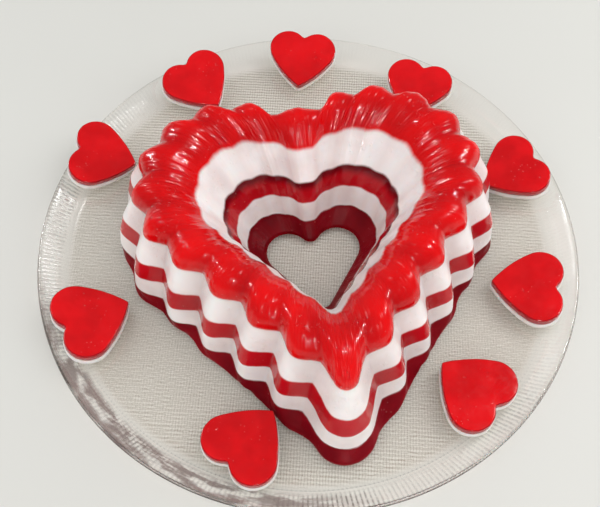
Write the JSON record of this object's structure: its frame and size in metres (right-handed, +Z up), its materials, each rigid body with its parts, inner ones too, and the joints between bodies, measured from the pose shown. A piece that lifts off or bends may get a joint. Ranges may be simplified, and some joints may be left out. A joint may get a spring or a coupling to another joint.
{
  "type": "moulded jelly",
  "caption": "Heart-shaped fluted ring of moulded jelly in red and white layers with a heart-shaped hole, on a round glass plate with small two-layer jelly hearts round it.",
  "frame": {"origin": "middle of the underside of the plate", "axes": "+Z up; the tip of the heart points to -Y, turned a few degrees; +X to the right"},
  "size_m": [0.3, 0.3, 0.0636],
  "materials": {
    "clear_glass": "clear, with fine pressed lines under the floor and a ribbed rim",
    "red_jelly": "wet gloss, clear red",
    "dark_red_jelly": "wet gloss, dark red",
    "white_jelly": "soft gloss, milky white"
  },
  "bodies": {
    "root": {"plate": "clear_glass", "ring_1_base_red": "dark_red_jelly", "ring_2_lower_white": "white_jelly", "ring_3_middle_red": "red_jelly", "ring_4_upper_white": "white_jelly", "ring_5_top_red": "red_jelly", "heart_1_white": "white_jelly", "heart_1_red": "red_jelly", "heart_2_white": "white_jelly", "heart_2_red": "red_jelly", "heart_3_white": "white_jelly", "heart_3_red": "red_jelly", "heart_4_white": "white_jelly", "heart_4_red": "red_jelly", "heart_5_white": "white_jelly", "heart_5_red": "red_jelly", "heart_6_white": "white_jelly", "heart_6_red": "red_jelly", "heart_7_white": "white_jelly", "heart_7_red": "red_jelly", "heart_8_white": "white_jelly", "heart_8_red": "red_jelly", "heart_9_white": "white_jelly", "heart_9_red": "red_jelly"}
  },
  "joints": []
}
